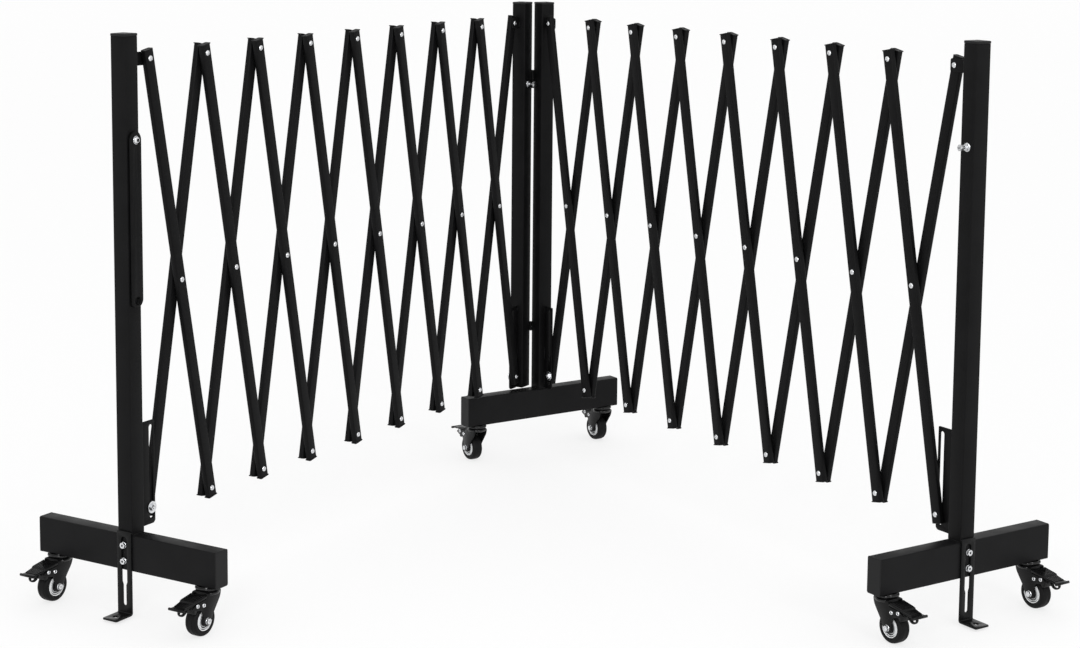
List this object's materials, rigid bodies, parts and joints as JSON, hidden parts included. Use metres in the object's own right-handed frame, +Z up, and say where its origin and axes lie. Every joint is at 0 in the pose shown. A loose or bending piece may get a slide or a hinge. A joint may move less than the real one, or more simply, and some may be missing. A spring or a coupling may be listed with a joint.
{
  "type": "expandable safety barrier",
  "caption": "Freestanding barrier of folding lattice panels joined at a hinged corner post, on beam feet with braked swivel casters and adjustable floor legs.",
  "frame": {"origin": "centre of the bounding box on the floor, under the V that the panels make", "axes": "+Z up, -Y towards the open side of the V, +X along the line between the end posts"},
  "size_m": [1.725, 1.372, 0.9496],
  "materials": {
    "powder_black": "satin black powder coat",
    "sheet_black": "semi-gloss black coat on pressed sheet",
    "tyre_black": "matte black rubber"
  },
  "bodies": {
    "corner_base": {"right_hinge_post": "powder_black", "centre_foot_beam": "powder_black"},
    "left_corner_post": {"left_hinge_post": "powder_black"},
    "left_end": {"left_end_post": "powder_black", "left_foot_beam": "powder_black"},
    "right_end": {"right_end_post": "powder_black", "right_foot_beam": "powder_black"},
    "centre_inner_caster_fork": {"centre_inner_caster_fork": "sheet_black"},
    "centre_inner_caster_pedal": {"centre_inner_caster_pedal": "sheet_black"},
    "centre_inner_caster_wheel": {"centre_inner_caster_wheel": "tyre_black"},
    "centre_outer_caster_fork": {"centre_outer_caster_fork": "sheet_black"},
    "centre_outer_caster_pedal": {"centre_outer_caster_pedal": "sheet_black"},
    "centre_outer_caster_wheel": {"centre_outer_caster_wheel": "tyre_black"},
    "left_floor_leg": {"left_floor_leg": "sheet_black"},
    "left_front_bar_1": {"left_front_bar_1": "powder_black"},
    "left_front_bar_2": {"left_front_bar_2": "powder_black"},
    "left_front_bar_3": {"left_front_bar_3": "powder_black"},
    "left_front_bar_4": {"left_front_bar_4": "powder_black"},
    "left_front_bar_5": {"left_front_bar_5": "powder_black"},
    "left_front_bar_6": {"left_front_bar_6": "powder_black"},
    "left_front_bar_7": {"left_front_bar_7": "powder_black"},
    "left_front_bar_8": {"left_front_bar_8": "powder_black"},
    "left_inner_caster_fork": {"left_inner_caster_fork": "sheet_black"},
    "left_inner_caster_pedal": {"left_inner_caster_pedal": "sheet_black"},
    "left_inner_caster_wheel": {"left_inner_caster_wheel": "tyre_black"},
    "left_outer_caster_fork": {"left_outer_caster_fork": "sheet_black"},
    "left_outer_caster_pedal": {"left_outer_caster_pedal": "sheet_black"},
    "left_outer_caster_wheel": {"left_outer_caster_wheel": "tyre_black"},
    "left_rear_bar_1": {"left_rear_bar_1": "powder_black"},
    "left_rear_bar_2": {"left_rear_bar_2": "powder_black"},
    "left_rear_bar_3": {"left_rear_bar_3": "powder_black"},
    "left_rear_bar_4": {"left_rear_bar_4": "powder_black"},
    "left_rear_bar_5": {"left_rear_bar_5": "powder_black"},
    "left_rear_bar_6": {"left_rear_bar_6": "powder_black"},
    "left_rear_bar_7": {"left_rear_bar_7": "powder_black"},
    "left_rear_bar_8": {"left_rear_bar_8": "powder_black"},
    "lock_arm": {"lock_arm": "powder_black"},
    "right_floor_leg": {"right_floor_leg": "sheet_black"},
    "right_front_bar_1": {"right_front_bar_1": "powder_black"},
    "right_front_bar_2": {"right_front_bar_2": "powder_black"},
    "right_front_bar_3": {"right_front_bar_3": "powder_black"},
    "right_front_bar_4": {"right_front_bar_4": "powder_black"},
    "right_front_bar_5": {"right_front_bar_5": "powder_black"},
    "right_front_bar_6": {"right_front_bar_6": "powder_black"},
    "right_front_bar_7": {"right_front_bar_7": "powder_black"},
    "right_front_bar_8": {"right_front_bar_8": "powder_black"},
    "right_inner_caster_fork": {"right_inner_caster_fork": "sheet_black"},
    "right_inner_caster_pedal": {"right_inner_caster_pedal": "sheet_black"},
    "right_inner_caster_wheel": {"right_inner_caster_wheel": "tyre_black"},
    "right_outer_caster_fork": {"right_outer_caster_fork": "sheet_black"},
    "right_outer_caster_pedal": {"right_outer_caster_pedal": "sheet_black"},
    "right_outer_caster_wheel": {"right_outer_caster_wheel": "tyre_black"},
    "right_rear_bar_1": {"right_rear_bar_1": "powder_black"},
    "right_rear_bar_2": {"right_rear_bar_2": "powder_black"},
    "right_rear_bar_3": {"right_rear_bar_3": "powder_black"},
    "right_rear_bar_4": {"right_rear_bar_4": "powder_black"},
    "right_rear_bar_5": {"right_rear_bar_5": "powder_black"},
    "right_rear_bar_6": {"right_rear_bar_6": "powder_black"},
    "right_rear_bar_7": {"right_rear_bar_7": "powder_black"},
    "right_rear_bar_8": {"right_rear_bar_8": "powder_black"}
  },
  "joints": [
    {"name": "right_panel_extend", "type": "hinge", "parent": "corner_base", "child": "right_front_bar_1", "pos_m": [0.03059, 0.50138, 0.90696], "axis": [-0.848, -0.5299, 0], "range_deg": [-9.45, 25.34]},
    {"name": "right_rear_bar_1_pivot", "type": "hinge", "parent": "right_front_bar_1", "child": "right_rear_bar_1", "pos_m": [0.06921, 0.43959, 0.53758], "axis": [0.848, 0.5299, 0], "range_deg": [-21.6, 53.38]},
    {"name": "right_front_bar_2_pivot", "type": "hinge", "parent": "right_rear_bar_1", "child": "right_front_bar_2", "pos_m": [0.10782, 0.37779, 0.90696], "axis": [-0.848, -0.5299, 0], "range_deg": [-21.6, 53.38]},
    {"name": "right_rear_bar_2_pivot", "type": "hinge", "parent": "right_front_bar_2", "child": "right_rear_bar_2", "pos_m": [0.14644, 0.31599, 0.53758], "axis": [0.848, 0.5299, 0], "range_deg": [-21.6, 53.38]},
    {"name": "right_front_bar_3_pivot", "type": "hinge", "parent": "right_rear_bar_2", "child": "right_front_bar_3", "pos_m": [0.18505, 0.25419, 0.90696], "axis": [-0.848, -0.5299, 0], "range_deg": [-21.6, 53.38]},
    {"name": "right_rear_bar_3_pivot", "type": "hinge", "parent": "right_front_bar_3", "child": "right_rear_bar_3", "pos_m": [0.22367, 0.19239, 0.53758], "axis": [0.848, 0.5299, 0], "range_deg": [-21.6, 53.38]},
    {"name": "right_front_bar_4_pivot", "type": "hinge", "parent": "right_rear_bar_3", "child": "right_front_bar_4", "pos_m": [0.26229, 0.13059, 0.90696], "axis": [-0.848, -0.5299, 0], "range_deg": [-21.6, 53.38]},
    {"name": "right_rear_bar_4_pivot", "type": "hinge", "parent": "right_front_bar_4", "child": "right_rear_bar_4", "pos_m": [0.3009, 0.06879, 0.53758], "axis": [0.848, 0.5299, 0], "range_deg": [-21.6, 53.38]},
    {"name": "right_front_bar_5_pivot", "type": "hinge", "parent": "right_rear_bar_4", "child": "right_front_bar_5", "pos_m": [0.33952, 0.007, 0.90696], "axis": [-0.848, -0.5299, 0], "range_deg": [-21.6, 53.38]},
    {"name": "right_rear_bar_5_pivot", "type": "hinge", "parent": "right_front_bar_5", "child": "right_rear_bar_5", "pos_m": [0.37813, -0.0548, 0.53758], "axis": [0.848, 0.5299, 0], "range_deg": [-21.6, 53.38]},
    {"name": "right_front_bar_6_pivot", "type": "hinge", "parent": "right_rear_bar_5", "child": "right_front_bar_6", "pos_m": [0.41675, -0.1166, 0.90696], "axis": [-0.848, -0.5299, 0], "range_deg": [-21.6, 53.38]},
    {"name": "right_rear_bar_6_pivot", "type": "hinge", "parent": "right_front_bar_6", "child": "right_rear_bar_6", "pos_m": [0.45537, -0.1784, 0.53758], "axis": [0.848, 0.5299, 0], "range_deg": [-21.6, 53.38]},
    {"name": "right_front_bar_7_pivot", "type": "hinge", "parent": "right_rear_bar_6", "child": "right_front_bar_7", "pos_m": [0.49398, -0.2402, 0.90696], "axis": [-0.848, -0.5299, 0], "range_deg": [-21.6, 53.38]},
    {"name": "right_rear_bar_7_pivot", "type": "hinge", "parent": "right_front_bar_7", "child": "right_rear_bar_7", "pos_m": [0.5326, -0.302, 0.53758], "axis": [0.848, 0.5299, 0], "range_deg": [-21.6, 53.38]},
    {"name": "right_front_bar_8_pivot", "type": "hinge", "parent": "right_rear_bar_7", "child": "right_front_bar_8", "pos_m": [0.57121, -0.36379, 0.90696], "axis": [-0.848, -0.5299, 0], "range_deg": [-21.6, 53.38]},
    {"name": "right_rear_bar_8_pivot", "type": "hinge", "parent": "right_front_bar_8", "child": "right_rear_bar_8", "pos_m": [0.60983, -0.42559, 0.53758], "axis": [0.848, 0.5299, 0], "range_deg": [-21.6, 53.38]},
    {"name": "right_end_pivot", "type": "hinge", "parent": "right_rear_bar_8", "child": "right_end", "pos_m": [0.64845, -0.48739, 0.90696], "axis": [-0.848, -0.5299, 0], "range_deg": [-12.15, 28.04]},
    {"name": "left_panel_extend", "type": "hinge", "parent": "left_corner_post", "child": "left_rear_bar_8", "pos_m": [-0.04864, 0.50138, 0.90696], "axis": [-0.848, 0.5299, 0], "range_deg": [-9.12, 25.67]},
    {"name": "left_front_bar_8_pivot", "type": "hinge", "parent": "left_rear_bar_8", "child": "left_front_bar_8", "pos_m": [-0.08613, 0.44139, 0.53717], "axis": [0.848, -0.5299, 0], "range_deg": [-20.94, 54.04]},
    {"name": "left_rear_bar_7_pivot", "type": "hinge", "parent": "left_front_bar_8", "child": "left_rear_bar_7", "pos_m": [-0.12361, 0.3814, 0.90696], "axis": [-0.848, 0.5299, 0], "range_deg": [-20.94, 54.04]},
    {"name": "left_front_bar_7_pivot", "type": "hinge", "parent": "left_rear_bar_7", "child": "left_front_bar_7", "pos_m": [-0.1611, 0.3214, 0.53717], "axis": [0.848, -0.5299, 0], "range_deg": [-20.94, 54.04]},
    {"name": "left_rear_bar_6_pivot", "type": "hinge", "parent": "left_front_bar_7", "child": "left_rear_bar_6", "pos_m": [-0.19859, 0.26141, 0.90696], "axis": [-0.848, 0.5299, 0], "range_deg": [-20.94, 54.04]},
    {"name": "left_front_bar_6_pivot", "type": "hinge", "parent": "left_rear_bar_6", "child": "left_front_bar_6", "pos_m": [-0.23608, 0.20142, 0.53717], "axis": [0.848, -0.5299, 0], "range_deg": [-20.94, 54.04]},
    {"name": "left_rear_bar_5_pivot", "type": "hinge", "parent": "left_front_bar_6", "child": "left_rear_bar_5", "pos_m": [-0.27357, 0.14142, 0.90696], "axis": [-0.848, 0.5299, 0], "range_deg": [-20.94, 54.04]},
    {"name": "left_front_bar_5_pivot", "type": "hinge", "parent": "left_rear_bar_5", "child": "left_front_bar_5", "pos_m": [-0.31105, 0.08143, 0.53717], "axis": [0.848, -0.5299, 0], "range_deg": [-20.94, 54.04]},
    {"name": "left_rear_bar_4_pivot", "type": "hinge", "parent": "left_front_bar_5", "child": "left_rear_bar_4", "pos_m": [-0.34854, 0.02144, 0.90696], "axis": [-0.848, 0.5299, 0], "range_deg": [-20.94, 54.04]},
    {"name": "left_front_bar_4_pivot", "type": "hinge", "parent": "left_rear_bar_4", "child": "left_front_bar_4", "pos_m": [-0.38603, -0.03856, 0.53717], "axis": [0.848, -0.5299, 0], "range_deg": [-20.94, 54.04]},
    {"name": "left_rear_bar_3_pivot", "type": "hinge", "parent": "left_front_bar_4", "child": "left_rear_bar_3", "pos_m": [-0.42352, -0.09855, 0.90696], "axis": [-0.848, 0.5299, 0], "range_deg": [-20.94, 54.04]},
    {"name": "left_front_bar_3_pivot", "type": "hinge", "parent": "left_rear_bar_3", "child": "left_front_bar_3", "pos_m": [-0.46101, -0.15854, 0.53717], "axis": [0.848, -0.5299, 0], "range_deg": [-20.94, 54.04]},
    {"name": "left_rear_bar_2_pivot", "type": "hinge", "parent": "left_front_bar_3", "child": "left_rear_bar_2", "pos_m": [-0.49849, -0.21853, 0.90696], "axis": [-0.848, 0.5299, 0], "range_deg": [-20.94, 54.04]},
    {"name": "left_front_bar_2_pivot", "type": "hinge", "parent": "left_rear_bar_2", "child": "left_front_bar_2", "pos_m": [-0.53598, -0.27853, 0.53717], "axis": [0.848, -0.5299, 0], "range_deg": [-20.94, 54.04]},
    {"name": "left_rear_bar_1_pivot", "type": "hinge", "parent": "left_front_bar_2", "child": "left_rear_bar_1", "pos_m": [-0.57347, -0.33852, 0.90696], "axis": [-0.848, 0.5299, 0], "range_deg": [-20.94, 54.04]},
    {"name": "left_front_bar_1_pivot", "type": "hinge", "parent": "left_rear_bar_1", "child": "left_front_bar_1", "pos_m": [-0.61096, -0.39851, 0.53717], "axis": [0.848, -0.5299, 0], "range_deg": [-20.94, 54.04]},
    {"name": "left_end_pivot", "type": "hinge", "parent": "left_front_bar_1", "child": "left_end", "pos_m": [-0.64845, -0.45851, 0.90696], "axis": [-0.848, 0.5299, 0], "range_deg": [-11.82, 28.37]},
    {"name": "corner_hinge", "type": "hinge", "parent": "corner_base", "child": "left_corner_post", "pos_m": [-0.00902, 0.53647, 0.1375], "axis": [0, 0, 1], "range_deg": [-116, 6.5]},
    {"name": "left_inner_caster_swivel", "type": "hinge", "parent": "left_end", "child": "left_inner_caster_fork", "pos_m": [-0.54042, -0.58379, 0], "axis": [0, 0, 1], "continuous": true},
    {"name": "left_inner_caster_roll", "type": "hinge", "parent": "left_inner_caster_fork", "child": "left_inner_caster_wheel", "pos_m": [-0.55049, -0.5999, 0.026], "axis": [0.848, -0.5299, 0], "continuous": true},
    {"name": "left_inner_caster_brake", "type": "hinge", "parent": "left_inner_caster_fork", "child": "left_inner_caster_pedal", "pos_m": [-0.56294, -0.61983, 0.0565], "axis": [0.848, -0.5299, 0], "range_deg": [0, 16]},
    {"name": "left_outer_caster_swivel", "type": "hinge", "parent": "left_end", "child": "left_outer_caster_fork", "pos_m": [-0.8084, -0.41633, 0], "axis": [0, 0, 1], "continuous": true},
    {"name": "left_outer_caster_roll", "type": "hinge", "parent": "left_outer_caster_fork", "child": "left_outer_caster_wheel", "pos_m": [-0.81847, -0.43245, 0.026], "axis": [0.848, -0.5299, 0], "continuous": true},
    {"name": "left_outer_caster_brake", "type": "hinge", "parent": "left_outer_caster_fork", "child": "left_outer_caster_pedal", "pos_m": [-0.83092, -0.45238, 0.0565], "axis": [0.848, -0.5299, 0], "range_deg": [0, 16]},
    {"name": "centre_inner_caster_swivel", "type": "hinge", "parent": "corner_base", "child": "centre_inner_caster_fork", "pos_m": [-0.12062, 0.44522, 0], "axis": [0, 0, 1], "continuous": true},
    {"name": "centre_inner_caster_roll", "type": "hinge", "parent": "centre_inner_caster_fork", "child": "centre_inner_caster_wheel", "pos_m": [-0.13069, 0.46133, 0.026], "axis": [-0.848, -0.5299, 0], "continuous": true},
    {"name": "centre_inner_caster_brake", "type": "hinge", "parent": "centre_inner_caster_fork", "child": "centre_inner_caster_pedal", "pos_m": [-0.14315, 0.48126, 0.0565], "axis": [-0.848, -0.5299, 0], "range_deg": [0, 16]},
    {"name": "centre_outer_caster_swivel", "type": "hinge", "parent": "corner_base", "child": "centre_outer_caster_fork", "pos_m": [0.14736, 0.61267, 0], "axis": [0, 0, 1], "continuous": true},
    {"name": "centre_outer_caster_roll", "type": "hinge", "parent": "centre_outer_caster_fork", "child": "centre_outer_caster_wheel", "pos_m": [0.13729, 0.62879, 0.026], "axis": [-0.848, -0.5299, 0], "continuous": true},
    {"name": "centre_outer_caster_brake", "type": "hinge", "parent": "centre_outer_caster_fork", "child": "centre_outer_caster_pedal", "pos_m": [0.12484, 0.64871, 0.0565], "axis": [-0.848, -0.5299, 0], "range_deg": [0, 16]},
    {"name": "right_inner_caster_swivel", "type": "hinge", "parent": "right_end", "child": "right_inner_caster_fork", "pos_m": [0.54042, -0.61267, 0], "axis": [0, 0, 1], "continuous": true},
    {"name": "right_inner_caster_roll", "type": "hinge", "parent": "right_inner_caster_fork", "child": "right_inner_caster_wheel", "pos_m": [0.55049, -0.62879, 0.026], "axis": [0.848, 0.5299, 0], "continuous": true},
    {"name": "right_inner_caster_brake", "type": "hinge", "parent": "right_inner_caster_fork", "child": "right_inner_caster_pedal", "pos_m": [0.56294, -0.64871, 0.0565], "axis": [0.848, 0.5299, 0], "range_deg": [0, 16]},
    {"name": "right_outer_caster_swivel", "type": "hinge", "parent": "right_end", "child": "right_outer_caster_fork", "pos_m": [0.8084, -0.44522, 0], "axis": [0, 0, 1], "continuous": true},
    {"name": "right_outer_caster_roll", "type": "hinge", "parent": "right_outer_caster_fork", "child": "right_outer_caster_wheel", "pos_m": [0.81847, -0.46133, 0.026], "axis": [0.848, 0.5299, 0], "continuous": true},
    {"name": "right_outer_caster_brake", "type": "hinge", "parent": "right_outer_caster_fork", "child": "right_outer_caster_pedal", "pos_m": [0.83092, -0.48126, 0.0565], "axis": [0.848, 0.5299, 0], "range_deg": [0, 16]},
    {"name": "left_floor_leg_slide", "type": "slide", "parent": "left_end", "child": "left_floor_leg", "axis": [0, 0, 1], "range_m": [-0.008, 0.05]},
    {"name": "right_floor_leg_slide", "type": "slide", "parent": "right_end", "child": "right_floor_leg", "axis": [0, 0, 1], "range_m": [-0.008, 0.05]},
    {"name": "lock_arm_swing", "type": "hinge", "parent": "left_end", "child": "lock_arm", "pos_m": [-0.67335, -0.49837, 0.78056], "axis": [0.848, -0.5299, 0], "range_deg": [0, 95]}
  ],
  "couplings": [
    {"joint": "right_rear_bar_1_pivot", "follows": "right_panel_extend", "ratio": 2},
    {"joint": "right_front_bar_2_pivot", "follows": "right_panel_extend", "ratio": 2},
    {"joint": "right_rear_bar_2_pivot", "follows": "right_panel_extend", "ratio": 2},
    {"joint": "right_front_bar_3_pivot", "follows": "right_panel_extend", "ratio": 2},
    {"joint": "right_rear_bar_3_pivot", "follows": "right_panel_extend", "ratio": 2},
    {"joint": "right_front_bar_4_pivot", "follows": "right_panel_extend", "ratio": 2},
    {"joint": "right_rear_bar_4_pivot", "follows": "right_panel_extend", "ratio": 2},
    {"joint": "right_front_bar_5_pivot", "follows": "right_panel_extend", "ratio": 2},
    {"joint": "right_rear_bar_5_pivot", "follows": "right_panel_extend", "ratio": 2},
    {"joint": "right_front_bar_6_pivot", "follows": "right_panel_extend", "ratio": 2},
    {"joint": "right_rear_bar_6_pivot", "follows": "right_panel_extend", "ratio": 2},
    {"joint": "right_front_bar_7_pivot", "follows": "right_panel_extend", "ratio": 2},
    {"joint": "right_rear_bar_7_pivot", "follows": "right_panel_extend", "ratio": 2},
    {"joint": "right_front_bar_8_pivot", "follows": "right_panel_extend", "ratio": 2},
    {"joint": "right_rear_bar_8_pivot", "follows": "right_panel_extend", "ratio": 2},
    {"joint": "right_end_pivot", "follows": "right_panel_extend", "ratio": 1},
    {"joint": "left_front_bar_8_pivot", "follows": "left_panel_extend", "ratio": 2},
    {"joint": "left_rear_bar_7_pivot", "follows": "left_panel_extend", "ratio": 2},
    {"joint": "left_front_bar_7_pivot", "follows": "left_panel_extend", "ratio": 2},
    {"joint": "left_rear_bar_6_pivot", "follows": "left_panel_extend", "ratio": 2},
    {"joint": "left_front_bar_6_pivot", "follows": "left_panel_extend", "ratio": 2},
    {"joint": "left_rear_bar_5_pivot", "follows": "left_panel_extend", "ratio": 2},
    {"joint": "left_front_bar_5_pivot", "follows": "left_panel_extend", "ratio": 2},
    {"joint": "left_rear_bar_4_pivot", "follows": "left_panel_extend", "ratio": 2},
    {"joint": "left_front_bar_4_pivot", "follows": "left_panel_extend", "ratio": 2},
    {"joint": "left_rear_bar_3_pivot", "follows": "left_panel_extend", "ratio": 2},
    {"joint": "left_front_bar_3_pivot", "follows": "left_panel_extend", "ratio": 2},
    {"joint": "left_rear_bar_2_pivot", "follows": "left_panel_extend", "ratio": 2},
    {"joint": "left_front_bar_2_pivot", "follows": "left_panel_extend", "ratio": 2},
    {"joint": "left_rear_bar_1_pivot", "follows": "left_panel_extend", "ratio": 2},
    {"joint": "left_front_bar_1_pivot", "follows": "left_panel_extend", "ratio": 2},
    {"joint": "left_end_pivot", "follows": "left_panel_extend", "ratio": 1}
  ]
}
